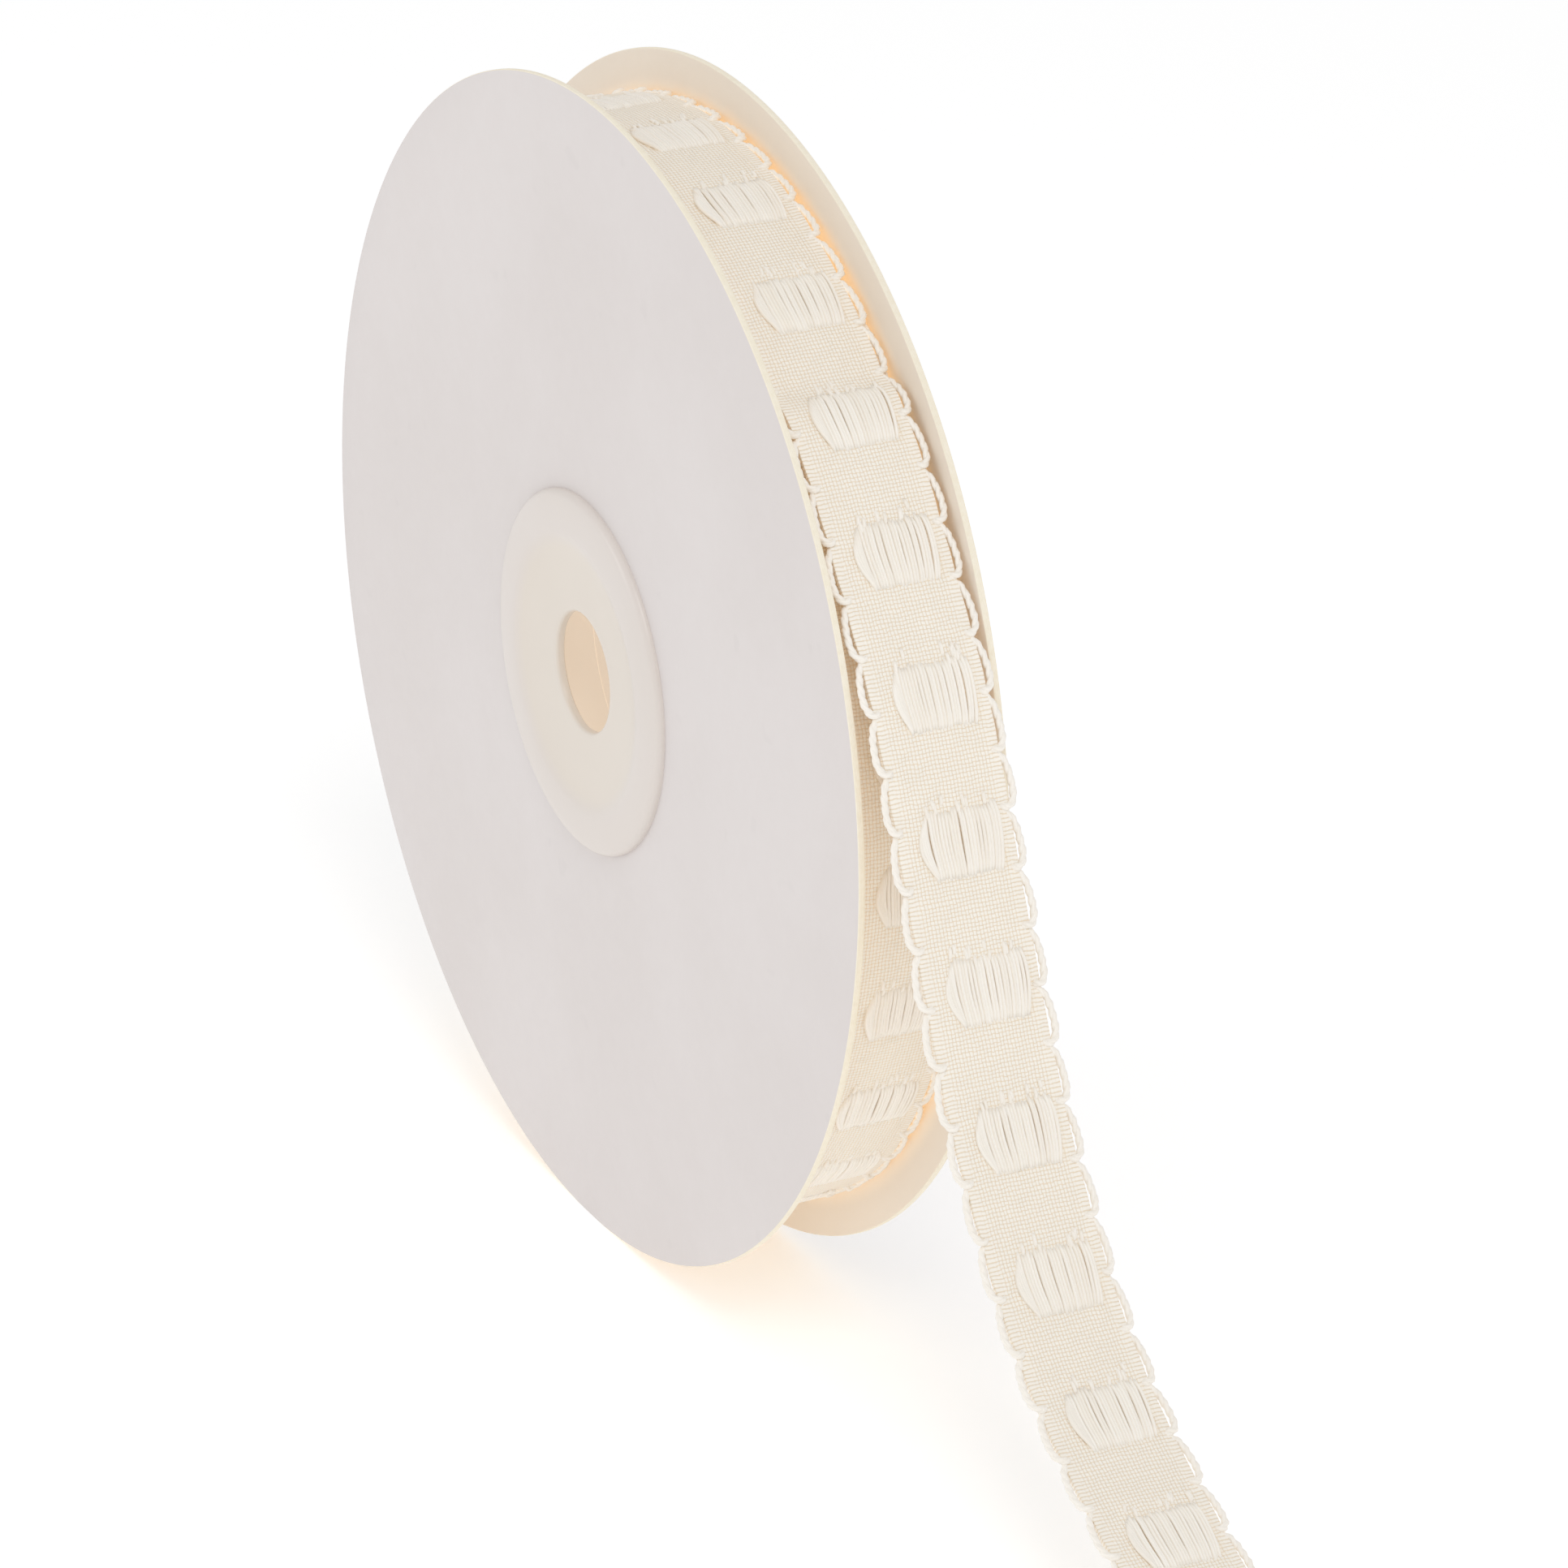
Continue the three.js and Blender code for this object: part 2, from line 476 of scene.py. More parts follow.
class RibbonRun:
    """The ribbon's show face, by distance along it from the point where it leaves the winding.

    Distances below zero are on the winding and those above zero on the loose end."""

    def __init__(self, ribbon):
        self.ribbon = ribbon
        self.turn_length = 2 * math.pi * (ribbon.radius - ribbon.step / 2)
        leaving = ribbon.leaving
        radial = Vector((math.cos(leaving), 0, math.sin(leaving)))
        away = Vector((math.sin(leaving), 0, -math.cos(leaving)))
        start = radial * ribbon.radius
        floor = FLOOR_BELOW + ribbon.thickness
        landing = LOOSE_END[-1][0]
        points = [start, start + away * 0.6 * MM, start + away * 3 * MM]
        points += [Vector((x, 0, z)) * MM for x, z, _ in LOOSE_END]
        points += [Vector(((landing + rest) * MM, 0, floor)) for rest in RESTING]
        self.line = smooth_line(points, 24)
        self.distances = [0.0]
        for near, far in zip(self.line, self.line[1:]):
            self.distances.append(self.distances[-1] + (far - near).length)
        self.loose_length = self.distances[-1]

    def at(self, along):
        """The show face's middle, the direction across it and the direction out of it."""
        return self.on_winding(along) if along <= 0 else self.on_loose_end(along)

    def on_winding(self, along):
        ribbon = self.ribbon
        share = -along / self.turn_length
        angle = ribbon.leaving + share * 2 * math.pi
        ease = math.sin(math.pi * share)
        swell = sum(h * math.sin(n * angle + turn) for h, n, turn in WINDING_SWELL) * MM
        radius = ribbon.radius - ribbon.step * share + swell * ease
        outward = Vector((math.cos(angle), 0, math.sin(angle)))
        return outward * radius, Vector((0, 1, 0)), outward

    def on_loose_end(self, along):
        distances = self.distances
        low, high = 0, len(distances) - 1
        while high - low > 1:
            middle = (low + high) // 2
            if distances[middle] <= along:
                low = middle
            else:
                high = middle
        share = (along - distances[low]) / (distances[high] - distances[low])
        point = self.line[low].lerp(self.line[high], min(share, 1))
        behind = self.line[max(low - 2, 0)]
        ahead = self.line[min(high + 2, len(self.line) - 1)]
        tangent = (ahead - behind).normalized()
        lean = Matrix.Rotation(math.radians(self.lean_at(point.x / MM)), 3, tangent)
        outward = lean @ Vector((-tangent.z, 0, tangent.x))
        return point, lean @ Vector((0, 1, 0)), outward

    def lean_at(self, x):
        rows = LOOSE_END
        if x <= rows[0][0] or x >= rows[-1][0]:
            return rows[0][2] if x <= rows[0][0] else rows[-1][2]
        after = next(k for k, row in enumerate(rows) if row[0] > x)
        low, high = rows[after - 1], rows[after]
        return low[2] + (high[2] - low[2]) * (x - low[0]) / (high[0] - low[0])

    def place(self, across, along, height, clear=0.0):
        """A point given across, along and above the show face, in the part's own frame.
        clear is the least height that it keeps above the floor."""
        middle, width, outward = self.at(along)
        point = SPOOL_CENTRE + middle + width * across + outward * height
        point.z = max(point.z, clear)
        return point


def smoothstep(low, high, value):
    share = min(max((value - low) / (high - low), 0), 1)
    return share * share * (3 - 2 * share)


def patch_share(ribbon, across, along):
    """1 under a patch of floating threads and 0 beside it."""
    repeats = (along - ribbon.patch_phase) / ribbon.patch_repeat
    from_middle = abs(repeats - round(repeats)) * ribbon.patch_repeat
    half = ribbon.patch_length / 2
    lengthwise = 1 - smoothstep(half - 0.5 * MM, half + 0.3 * MM, from_middle)
    beside = abs(across - ribbon.patch_offset) - ribbon.patch_half_width
    return lengthwise * (1 - smoothstep(-0.1 * MM, 0.6 * MM, beside))


def loop_turn(ribbon, along):
    """Where a place along the ribbon lies between two knots, from 0 to 1."""
    return ((along - ribbon.loop_phase) / ribbon.loop_pitch) % 1


def relief(ribbon, across, along):
    """Height of the woven body above its smooth run: crown, cockles and sunken patches."""
    share = across / ribbon.half_width
    crown = -0.05 * MM * share * share
    bead = 0.05 * MM * math.exp(-(((abs(share) - 0.97) / 0.03) ** 2))
    patch = patch_share(ribbon, across, along)
    place = Vector((across / (3.1 * MM), along / (4.3 * MM), 2.7))
    cockle = 0.1 * MM * noise.noise(place) * (1 - 0.5 * patch)
    fine = 0.03 * MM * noise.noise(place * 3.7 + Vector((0, 0, 5)))
    return crown + bead - 0.07 * MM * patch + cockle + fine


def pulled_edge(ribbon, share, along):
    """Place across the ribbon for a share of its half width, -1 to 1. Each loop's thread
    draws the edge in at its knots and lets it out between them."""
    scallop = 0.1 * MM * math.sin(math.pi * loop_turn(ribbon, along)) - 0.05 * MM
    near_edge = smoothstep(0.75, 1, abs(share))
    return share * (ribbon.half_width + scallop * near_edge)


# Materials


class Finish:
    """One material under construction: its node tree and its shader."""

    def __init__(self, name):
        self.material = bpy.data.materials.new(name)
        self.material.use_nodes = True
        self.tree = self.material.node_tree
        self.shader = self.tree.nodes["Principled BSDF"]

    def add(self, kind, **values):
        node = self.tree.nodes.new(kind)
        for key, value in values.items():
            setattr(node, key, value)
        return node

    def join(self, source, target):
        self.tree.links.new(source, target)

    def feed(self, value, target):
        """Gives a socket either a number or another node's output."""
        if isinstance(value, bpy.types.NodeSocket):
            self.join(value, target)
        else:
            target.default_value = value

    def number(self, operation, *values):
        node = self.add("ShaderNodeMath", operation=operation)
        for value, socket in zip(values, node.inputs):
            self.feed(value, socket)
        return node.outputs[0]

    def ramp(self, value, low, high, out_low=0.0, out_high=1.0):
        """A value carried smoothly from one range to another."""
        node = self.add("ShaderNodeMapRange", interpolation_type="SMOOTHSTEP")
        for number, socket in zip((value, low, high, out_low, out_high), node.inputs):
            self.feed(number, socket)
        return node.outputs[0]

    def blend(self, factor, low, high):
        node = self.add("ShaderNodeMix", data_type="RGBA")
        self.feed(factor, node.inputs[0])
        for value, socket in ((low, node.inputs[6]), (high, node.inputs[7])):
            self.feed(value if isinstance(value, bpy.types.NodeSocket) else (*value, 1), socket)
        return node.outputs[2]

    def mottle(self, vector, scale, detail=3.0, roughness=0.5):
        node = self.add("ShaderNodeTexNoise")
        self.join(vector, node.inputs["Vector"])
        node.inputs["Scale"].default_value = scale
        node.inputs["Detail"].default_value = detail
        node.inputs["Roughness"].default_value = roughness
        return node.outputs["Fac"]

    def bump(self, height, distance, below=None):
        node = self.add("ShaderNodeBump")
        node.inputs["Distance"].default_value = distance
        self.join(height, node.inputs["Height"])
        if below is not None:
            self.join(below, node.inputs["Normal"])
        return node.outputs[0]

    def object_place(self):
        """Object coordinates measured from the middle of the spool."""
        source = self.add("ShaderNodeTexCoord").outputs["Object"]
        mapping = self.add("ShaderNodeMapping")
        self.join(source, mapping.inputs["Vector"])
        mapping.inputs["Location"].default_value = -SPOOL_CENTRE
        return mapping.outputs[0]

    def parts_of(self, vector):
        node = self.add("ShaderNodeSeparateXYZ")
        self.join(vector, node.inputs[0])
        return node.outputs

    def from_axle(self, place):
        """Distance from the axle."""
        x, _, z = self.parts_of(place)
        squares = self.number("MULTIPLY_ADD", x, x, self.number("MULTIPLY", z, z))
        return self.number("SQRT", squares)

    def strip_place(self):
        """Where a point lies on the ribbon: across and along it, in millimetres."""
        return self.add("ShaderNodeUVMap", uv_map="strip").outputs[0]

    def count(self, place, pitch, wander, sway):
        """Threads counted over a distance in millimetres, swaying with wander."""
        return self.number("DIVIDE", self.number("MULTIPLY_ADD", wander, sway, place), pitch / MM)

    def crest(self, count):
        """0 between two threads and 1 on top of one."""
        return self.number("ABSOLUTE", self.number("SINE", self.number("MULTIPLY", count, math.pi)))

    def attribute(self, name):
        return self.add("ShaderNodeAttribute", attribute_name=name).outputs["Fac"]

    def painted_glow(self, strength, tint=PAINTED_GLOW):
        """Paints a warm glow: emission that stands in for the light that comes through thin board,
        plastic or thread.
        """
        self.shader.inputs["Emission Color"].default_value = (*tint, 1)
        self.feed(strength, self.shader.inputs["Emission Strength"])

    def finish(self, colour, normal=None, **values):
        """Joins colour and normal, and sets the shader's plain numbers by socket name."""
        self.feed(colour, self.shader.inputs["Base Color"])
        if normal is not None:
            self.join(normal, self.shader.inputs["Normal"])
        for key, value in values.items():
            self.feed(value, self.shader.inputs[key.replace("_", " ")])
        return self.material


def flat_board(name, base, painted_glow):
    """A face of the board, faintly mottled and almost smooth. The third argument is the strength of
    a painted glow beside the winding: emission that stands in for light through the board and light
    bounced between the flanges, which fades out towards the rim."""
    look = Finish(name)
    place = look.object_place()
    look.painted_glow(look.ramp(look.from_axle(place), 42.5 * MM, 44 * MM, painted_glow, painted_glow / 10), PAINTED_DEEP_GLOW)
    cloud = look.mottle(place, 45, 4)
    fibre = look.mottle(place, 900, 4, 0.6)
    light = [min(1, c * 1.01) for c in base]
    dark = [c * f for c, f in zip(base, (0.98, 0.975, 0.97))]
    tone = look.blend(look.ramp(cloud, 0.35, 0.65), dark, light)
    speck = look.ramp(look.mottle(place, 380, 2, 0.4), 0.7, 0.78, 0, 0.12)
    colour = look.blend(speck, tone, [c * 0.8 for c in base])
    rough = look.ramp(fibre, 0.3, 0.7, 0.5, 0.64)
    normal = look.bump(cloud, 0.05 * MM, look.bump(fibre, 0.02 * MM))
    return look.finish(colour, normal, Roughness=rough, Specular_IOR_Level=0.4)


def cut_board(colours):
    """The board's cut edge, where its pressed layers of pulp show."""
    look = Finish("cut board edge")
    # Painted glow: faint emission that stands in for light through the cut edge.
    look.painted_glow(0.03)
    place = look.object_place()
    axle = look.parts_of(place)[1]
    layers = look.number("SINE", look.number("MULTIPLY", axle, 2 * math.pi / (0.11 * MM)))
    pulp = look.mottle(place, 2600, 3, 0.6)
    mixed = look.number("MULTIPLY_ADD", layers, 0.18, pulp)
    dark = [c * f for c, f in zip(colours.board_edge, (0.95, 0.93, 0.88))]
    colour = look.blend(look.ramp(mixed, 0.2, 0.8), dark, colours.board_edge)
    normal = look.bump(mixed, 0.03 * MM)
    return look.finish(colour, normal, Roughness=0.85, Specular_IOR_Level=0.3)


def moulded_hub(colours):
    """Glossy off-white moulding, clearer in its thin dish than in its collar, with a painted glow
    on its inside.
    """
    look = Finish("moulded hub")
    place = look.object_place()
    # Painted glow: the hub's inside, nearer than 5.4 mm to the middle plane, gets emission that
    # stands in for light through the thin plastic.
    depth = look.number("ABSOLUTE", look.parts_of(place)[1])
    look.painted_glow(look.ramp(depth, 5.4 * MM, 5.6 * MM, 0.3, 0))
    radius = look.from_axle(place)
    crown = look.ramp(radius, 9.6 * MM, 11.2 * MM)
    cloud = look.mottle(place, 130, 3)
    tone = look.blend(crown, colours.hub, colours.hub_crown)
    dark = [c * 0.96 for c in colours.hub]
    shade = look.blend(look.ramp(cloud, 0.3, 0.7, 0, 0.2), tone, dark)
    normal = look.bump(cloud, 0.006 * MM)
    rough = look.ramp(cloud, 0.3, 0.7, 0.3, 0.36)
    return look.finish(shade, normal, Roughness=rough, Specular_IOR_Level=0.5)


def weave_height(look, ribbon):
    """Plain weave as a height from 0 to 1, with stronger crosswise ribs beside the edges."""
    strip = look.strip_place()
    wander = look.number("SUBTRACT", look.mottle(strip, 0.9, 2), 0.5)
    across, along, _ = look.parts_of(strip)
    warp = look.count(across, ribbon.warp_pitch, wander, 0.16)
    weft = look.count(along, ribbon.weft_pitch, wander, 0.3)
    warp_round, weft_round = look.crest(warp), look.crest(weft)
    cell = look.number("ADD", look.number("FLOOR", warp), look.number("FLOOR", weft))
    odd = look.number("FLOORED_MODULO", cell, 2)
    tops = []
    for own, other in ((warp_round, weft_round), (weft_round, warp_round)):
        tops.append(look.number("MULTIPLY", own, look.number("MULTIPLY_ADD", other, 0.45, 0.55)))
    swing = look.number("SUBTRACT", tops[1], tops[0])
    plain = look.number("MULTIPLY_ADD", swing, odd, tops[0])
    beside = look.ramp(look.number("ABSOLUTE", across), 3.4, 4.2, 0, 0.75)
    ribbed = look.number("SUBTRACT", weft_round, plain)
    return strip, look.number("MULTIPLY_ADD", ribbed, beside, plain)


def woven_ribbon(ribbon, colours):
    """Cream plain weave with painted shadow between its threads and under its floating threads, and
    a faint painted glow.
    """
    look = Finish("woven ribbon")
    # Painted glow: faint warm emission that stands in for light through the threads and bounced
    # into the shadows.
    look.painted_glow(0.03, PAINTED_DEEP_GLOW)
    strip, height = weave_height(look, ribbon)
    cloud = look.ramp(look.mottle(strip, 0.35, 3), 0.3, 0.7)
    light = look.blend(cloud, [c * 0.98 for c in colours.thread_light], colours.thread_light)
    # Painted shade: the colour darkens from the thread crests down into the gaps between threads.
    colour = look.blend(look.ramp(height, 0.0, 0.7), colours.painted_gap_shade, light)
    # Painted shade under the floating threads: the ground beneath each patch is darkened towards
    # the gap shade.
    patch = look.number("MULTIPLY", look.attribute("patch"), 0.35)
    colour = look.blend(patch, colour, colours.painted_gap_shade)
    fuzz = look.mottle(look.object_place(), 5200, 2)
    normal = look.bump(fuzz, 0.012 * MM, look.bump(height, 0.05 * MM))
    look.shader.inputs["Sheen Tint"].default_value = (1, 0.97, 0.92, 1)
    return look.finish(
        colour,
        normal,
        Roughness=0.6,
        Specular_IOR_Level=0.35,
        Sheen_Weight=0.15,
        Sheen_Roughness=0.45,
    )


def stacked_turns(ribbon, colours):
    """The winding's sides, where the edges of all its turns lie on each other, with painted shade
    between the edges and a strong painted glow.
    """
    look = Finish("stacked turns")
    # Painted glow: warm emission that stands in for light bounced deep between the flanges and
    # passed through the turns.
    look.painted_glow(0.3, PAINTED_DEEP_GLOW)
    place = look.object_place()
    x, _, z = look.parts_of(place)
    spiral = look.number("DIVIDE", look.number("ARCTAN2", z, x), 2 * math.pi)
    turns = look.number("MULTIPLY_ADD", look.from_axle(place), 1 / ribbon.step, spiral)
    turns = look.number("MULTIPLY_ADD", look.mottle(place, 260, 2), 0.35, turns)
    ridge = look.crest(turns)
    # Painted shade: darker between the turns' edges, lighter on their ridges.
    colour = look.blend(look.ramp(ridge, 0.05, 0.7), colours.painted_gap_shade, colours.thread_light)
    normal = look.bump(look.mottle(place, 3200, 3), 0.05 * MM, look.bump(ridge, 0.25 * MM))
    return look.finish(colour, normal, Roughness=0.75, Specular_IOR_Level=0.3)


def glossy_thread(colours):
    """Bright, slightly silky thread with fine fibres along it."""
    look = Finish("glossy thread")
    # Painted glow: faint emission that stands in for light through the thread.
    look.painted_glow(0.04)
    place = look.object_place()
    low = [c * f for c, f in zip(colours.silk, (0.95, 0.93, 0.9))]
    fibre = look.mottle(place, 7000, 3, 0.6)
    colour = look.blend(look.attribute("tone"), low, colours.silk)
    colour = look.blend(look.ramp(fibre, 0.25, 0.5, 0.3, 0), colour, low)
    normal = look.bump(fibre, 0.02 * MM)
    return look.finish(
        colour, normal, Roughness=0.38, Specular_IOR_Level=0.5, Sheen_Weight=0.1
    )


def studio_floor(colours):
    """Plain pale floor."""
    look = Finish("studio floor")
    cloud = look.mottle(look.object_place(), 3, 2)
    low = [c * 0.995 for c in colours.floor]
    colour = look.blend(cloud, low, colours.floor)
    look.shader.inputs["Emission Color"].default_value = (1, 1, 1, 1)
    return look.finish(colour, Roughness=0.9, Specular_IOR_Level=0.1, Emission_Strength=0.22)


# Making pieces


def show(name, mesh, materials, slot=None, replaced=()):
    """Puts a finished mesh into the scene as a piece that rides on the part's body."""
    for material in materials:
        mesh.materials.append(material)
    piece = bpy.data.objects.new(name, mesh)
    bpy.context.scene.collection.objects.link(piece)
    if slot:
        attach(piece, BODY)
    if replaced:
        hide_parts(*replaced)
    return piece


def mesh_from(bm, name):
    """Turns a bmesh into a smooth-shaded mesh."""
    mesh = bpy.data.meshes.new(name)
    bm.to_mesh(mesh)
    bm.free()
    mesh.shade_smooth()
    return mesh


def board_mesh(name, board, outer_y, inward):
    """A punched disc of board with a rounded cut edge and its foot worn flat by the floor."""
    bm = bmesh.new()
    upright = Matrix.Rotation(math.pi / 2, 4, "X")
    for radius in (board.radius, board.hole):
        bmesh.ops.create_circle(bm, segments=216, radius=radius, matrix=upright)
    bmesh.ops.bridge_loops(bm, edges=bm.edges[:])
    spokes = [e for e in bm.edges if e.calc_length() > board.hole]
    bmesh.ops.subdivide_edges(bm, edges=spokes, cuts=9, use_grid_fill=True)
    for vert in bm.verts:
        share = smoothstep(board.hole * 1.4, board.radius, vert.co.length)
        vert.co.y = board.warp * share * noise.noise(vert.co * 40 + Vector((0, outer_y * 900, 0)))
    sheet = bmesh.ops.extrude_face_region(bm, geom=bm.faces[:])
    moved = [g for g in sheet["geom"] if isinstance(g, bmesh.types.BMVert)]
    bmesh.ops.translate(bm, verts=moved, vec=(0, inward * board.thickness, 0))
    bmesh.ops.recalc_face_normals(bm, faces=bm.faces[:])
    rim = [e for e in bm.edges if len(e.link_faces) == 2 and e.calc_face_angle(0) > 1]
    bmesh.ops.bevel(
        bm,
        geom=rim,
        offset=board.edge_round,
        segments=3,
        profile=0.5,
        affect="EDGES",
        material=-1,
        clamp_overlap=True,
    )
    for face in bm.faces:
        facing = face.normal.y * inward
        face.material_index = 1 if abs(facing) < 0.95 else 0 if facing < 0 else 2
    for edge in bm.edges:
        kinds = {face.material_index for face in edge.link_faces}
        edge.smooth = len(kinds) == 1
    bmesh.ops.translate(bm, verts=bm.verts[:], vec=SPOOL_CENTRE + Vector((0, outer_y, 0)))
    for vert in bm.verts:
        vert.co.z = max(vert.co.z, 0)
    return mesh_from(bm, name)


def hub_mesh(name, side):
    """One hub half: its outline turned once round the axle. side is -1 in front, 1 behind."""
    outer = smooth_line([Vector((r, h, 0)) for r, h in COLLAR_SIDE], 4)
    outline = outer + [Vector((r, h, 0)) for r, h in INNER_SIDE]
    bm = bmesh.new()
    verts = [bm.verts.new((p.x * MM, side * p.y * MM, 0)) for p in outline]
    for near, far in zip(verts, verts[1:] + verts[:1]):
        bm.edges.new((near, far))
    bmesh.ops.spin(
        bm,
        geom=bm.verts[:] + bm.edges[:],
        cent=(0, 0, 0),
        axis=(0, 1, 0),
        angle=2 * math.pi,
        steps=144,
        use_merge=True,
    )
    bmesh.ops.recalc_face_normals(bm, faces=bm.faces[:])
    for edge in bm.edges:
        edge.smooth = edge.calc_face_angle(0) < 0.7
    bmesh.ops.translate(bm, verts=bm.verts[:], vec=SPOOL_CENTRE)
    return mesh_from(bm, name)


def lay_strip(bm, run, start, end, rows, lay):
    """Makes a grid along the ribbon's run between two distances, with the given number of rows
    across it. lay turns a row into a place across the strip and a height above it."""
    columns = round((end - start) / STRIP_STEP)
    bmesh.ops.create_grid(bm, x_segments=columns, y_segments=rows, size=0.5)
    strip = bm.loops.layers.uv.new("strip")
    patch = bm.verts.layers.float.new("patch")
    places = {}
    for vert in bm.verts:
        along = start + (end - start) * (vert.co.x + 0.5)
        across, height = lay(round((vert.co.y + 0.5) * rows), along)
        places[vert] = (across, along, height)
        vert[patch] = patch_share(run.ribbon, across, along)
    for face in bm.faces:
        for loop in face.loops:
            across, along, _ = places[loop.vert]
            loop[strip].uv = (across / MM, along / MM)
    for vert, (across, along, height) in places.items():
        vert.co = run.place(across, along, height, run.ribbon.thickness)


def show_row(ribbon, share, along):
    """Where one row of the show face lies, for its share of the width from -1 to 1."""
    across = pulled_edge(ribbon, share, along)
    return across, relief(ribbon, across, along)


def tail_mesh(name, run):
    """The loose end's show face, from the leaving point to its cut end."""

    def lay(row, along):
        return show_row(run.ribbon, 2 * row / SHOW_ROWS - 1, along)

    bm = bmesh.new()
    lay_strip(bm, run, 0, run.loose_length, SHOW_ROWS, lay)
    for edge in bm.edges:
        edge.smooth = not edge.is_boundary
    bmesh.ops.recalc_face_normals(bm, faces=bm.faces[:])
    return mesh_from(bm, name)


def winding_mesh(name, run):
    """The wound ribbon as one closed body: its outer turn, its two sides and its bore."""
    ribbon = run.ribbon
    # From the middle of the bore to the show face's edge: place across, share of the depth
    wall = [
        (0.0, 0.0),
        (WINDING_SIDE, 0.0),
        (WINDING_SIDE, 0.4),
        (WINDING_SIDE - 0.05 * MM, 0.98),
        (WINDING_SIDE - 0.15 * MM, 0.992),
    ]
    rows = SHOW_ROWS + 2 * len(wall)

    def lay(row, along):
        from_end = min(row, rows - row)
        if from_end >= len(wall):
            return show_row(ribbon, 2 * (row - len(wall)) / SHOW_ROWS - 1, along)
        across, level = wall[from_end]
        depth = run.at(along)[0].length - ribbon.bore
        return across if row > from_end else -across, (level - 1) * depth

    bm = bmesh.new()
    lay_strip(bm, run, -run.turn_length, 0, rows, lay)
    bmesh.ops.remove_doubles(bm, verts=bm.verts[:], dist=0.01 * MM)
    open_edges = [edge for edge in bm.edges if edge.is_boundary]
    bmesh.ops.holes_fill(bm, edges=open_edges, sides=0)
    bmesh.ops.recalc_face_normals(bm, faces=bm.faces[:])
    for face in bm.faces:
        middle = face.calc_center_median() - SPOOL_CENTRE
        inside = math.hypot(middle.x, middle.z) < ribbon.bore + 1 * MM
        face.material_index = 1 if inside or abs(face.normal.y) > 0.5 else 0
    for edge in bm.edges:
        edge.smooth = edge.calc_face_angle(0) < 0.9
    return mesh_from(bm, name)


def thread_mesh(name, strands, radius, tones):
    """Tubes along strands of points, as one mesh. Each gets a tone between the two given."""
    curve = bpy.data.curves.new(name, "CURVE")
    curve.dimensions = "3D"
    curve.bevel_depth = radius
    curve.bevel_resolution = 1
    curve.use_fill_caps = True
    for strand in strands:
        spline = curve.splines.new("POLY")
        spline.points.add(len(strand) - 1)
        for place, point in enumerate(strand):
            spline.points[place].co = (*point, 1)
    holder = bpy.data.objects.new(name, curve)
    bpy.context.scene.collection.objects.link(holder)
    mesh = bpy.data.meshes.new_from_object(holder)
    bpy.data.objects.remove(holder)
    bpy.data.curves.remove(curve)
    bm = bmesh.new()
    bm.from_mesh(mesh)
    bmesh.ops.remove_doubles(bm, verts=bm.verts, dist=radius / 20)
    tone = bm.verts.layers.float.new("tone")
    chance = random.Random(name)
    for island in islands(bm):
        shade = chance.uniform(*tones)
        for vert in island:
            vert[tone] = shade
    bpy.data.meshes.remove(mesh)
    return mesh_from(bm, name)


def islands(bm):
    """The groups of vertices that hang together."""
    waiting = set(bm.verts)
    while waiting:
        island = [waiting.pop()]
        for vert in island:
            for edge in vert.link_edges:
                other = edge.other_vert(vert)
                if other in waiting:
                    waiting.discard(other)
                    island.append(other)
        yield island


def ply(line, offset, twist, turn):
    """A line wound round another one at a small distance, as one ply of a thread."""
    points = []
    travelled = 0.0
    for place, point in enumerate(line):
        behind, ahead = line[max(place - 1, 0)], line[min(place + 1, len(line) - 1)]
        travelled += (point - behind).length
        direction = (ahead - behind).normalized()
        sideways = direction.cross(Vector((0, 0, 1))).normalized()
        angle = turn + 2 * math.pi * travelled / twist
        outward = sideways * math.cos(angle) + sideways.cross(direction) * math.sin(angle)
        points.append(point + outward * offset)
    return points


def loop_strands(run, start, end, side):
    """The edge loops on one side, each a thread of two plies lightly twisted together."""
    ribbon = run.ribbon
    pitch = ribbon.loop_pitch
    phase = ribbon.loop_phase - side * LOOP_SHIFT
    offset = ribbon.ply_radius * 0.45
    crest = ribbon.loop_reach - ribbon.ply_radius - offset
    strands = []
    for loop in range(math.floor((start - phase) / pitch), math.floor((end - phase) / pitch)):
        chance = random.Random(loop * 2 + (side > 0))
        reach = crest * chance.uniform(0.9, 1.05)
        shift = phase + chance.uniform(-0.08, 0.08) * MM
        turn = chance.uniform(0, math.pi)
        points = [
            Vector((ribbon.half_width + out * reach, shift + (loop + share) * pitch, height * MM))
            for share, out, height in LOOP_PATH
        ]
        line = smooth_line(points, 2)
        for opposite in (0, math.pi):
            strand = ply(line, offset, ribbon.ply_twist, turn + opposite)
            strands.append([run.place(side * p.x, p.y, p.z, ribbon.ply_radius) for p in strand])
    return strands


def float_strand(run, ends, across, bow, lift, steps):
    """One floating thread: where it begins and ends along the ribbon, its place across at
    both, how far it bows sideways between them and how high it stands."""
    strand = []
    for step in range(steps + 1):
        at = step / steps
        swell = math.sin(math.pi * at**0.85)
        along = ends[0] + (ends[1] - ends[0]) * at
        where = across[0] + (across[1] - across[0]) * at + bow * swell
        rise = smoothstep(0, 0.16, at) * smoothstep(0, 0.16, 1 - at)
        height = -0.16 * MM + (0.16 * MM + lift * (0.6 + 0.4 * swell)) * rise
        strand.append(run.place(where, along, height, run.ribbon.float_radius))
    return strand


